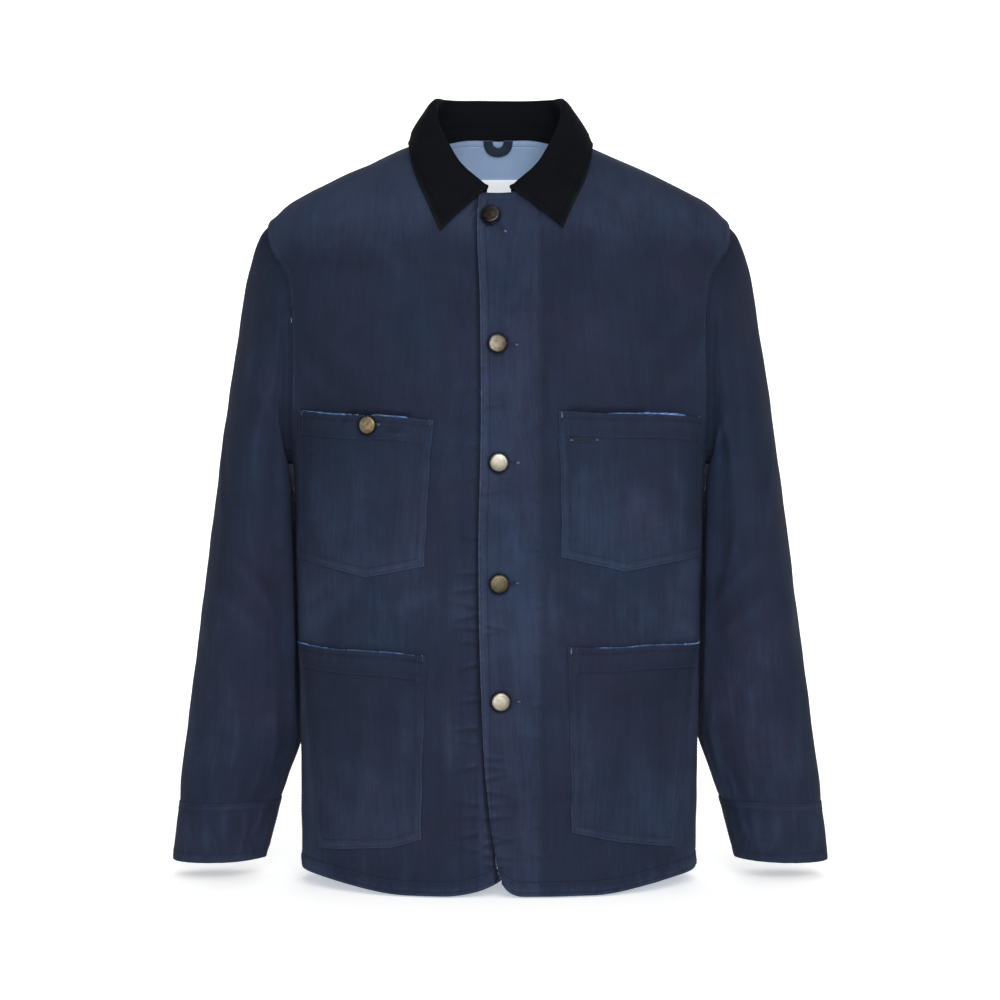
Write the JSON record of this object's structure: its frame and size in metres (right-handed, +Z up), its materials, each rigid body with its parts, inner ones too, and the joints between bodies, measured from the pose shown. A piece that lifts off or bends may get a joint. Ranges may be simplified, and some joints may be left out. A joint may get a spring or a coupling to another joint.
{
  "type": "chore jacket",
  "caption": "Hip-length navy chore jacket with a needlecord collar, pointed chest and slanted hip patch pockets and metal tack buttons, buttoned and filled out with no wearer.",
  "frame": {"origin": "middle of the neck opening, level with the neck ends of the shoulder seams, where the wearer's neck and shoulders hold the jacket up", "axes": "+Z up, +X towards the wearer's left, and the buttoned front faces -Y"},
  "size_m": [0.6601, 0.2641, 0.7864],
  "materials": {
    "cloth": "washed navy cotton twill, pale blue on its reverse, matte and mottled",
    "needlecord": "near black fine corduroy with a soft nap",
    "tape": "dark navy woven tape",
    "label": "white woven label, bare",
    "brass": "aged brass, worn bright on its rim",
    "nickel": "brass plated with nickel, worn and pale"
  },
  "bodies": {
    "root": {"front_left": "cloth", "front_right": "cloth", "back": "cloth", "sleeve_left_top": "cloth", "sleeve_left_under": "cloth", "sleeve_right_top": "cloth", "sleeve_right_under": "cloth", "cuff_left": "cloth", "cuff_right": "cloth", "collar_stand": "needlecord", "collar_leaf": "needlecord", "pocket_chest_left": "cloth", "pocket_chest_right": "cloth", "pocket_hip_left": "cloth", "pocket_hip_right": "cloth", "hanger_loop": "tape", "neck_label": "label", "button_1": "brass", "button_2": "brass", "button_3": "nickel", "button_4": "brass", "button_5": "nickel", "button_pocket": "brass"}
  },
  "joints": []
}
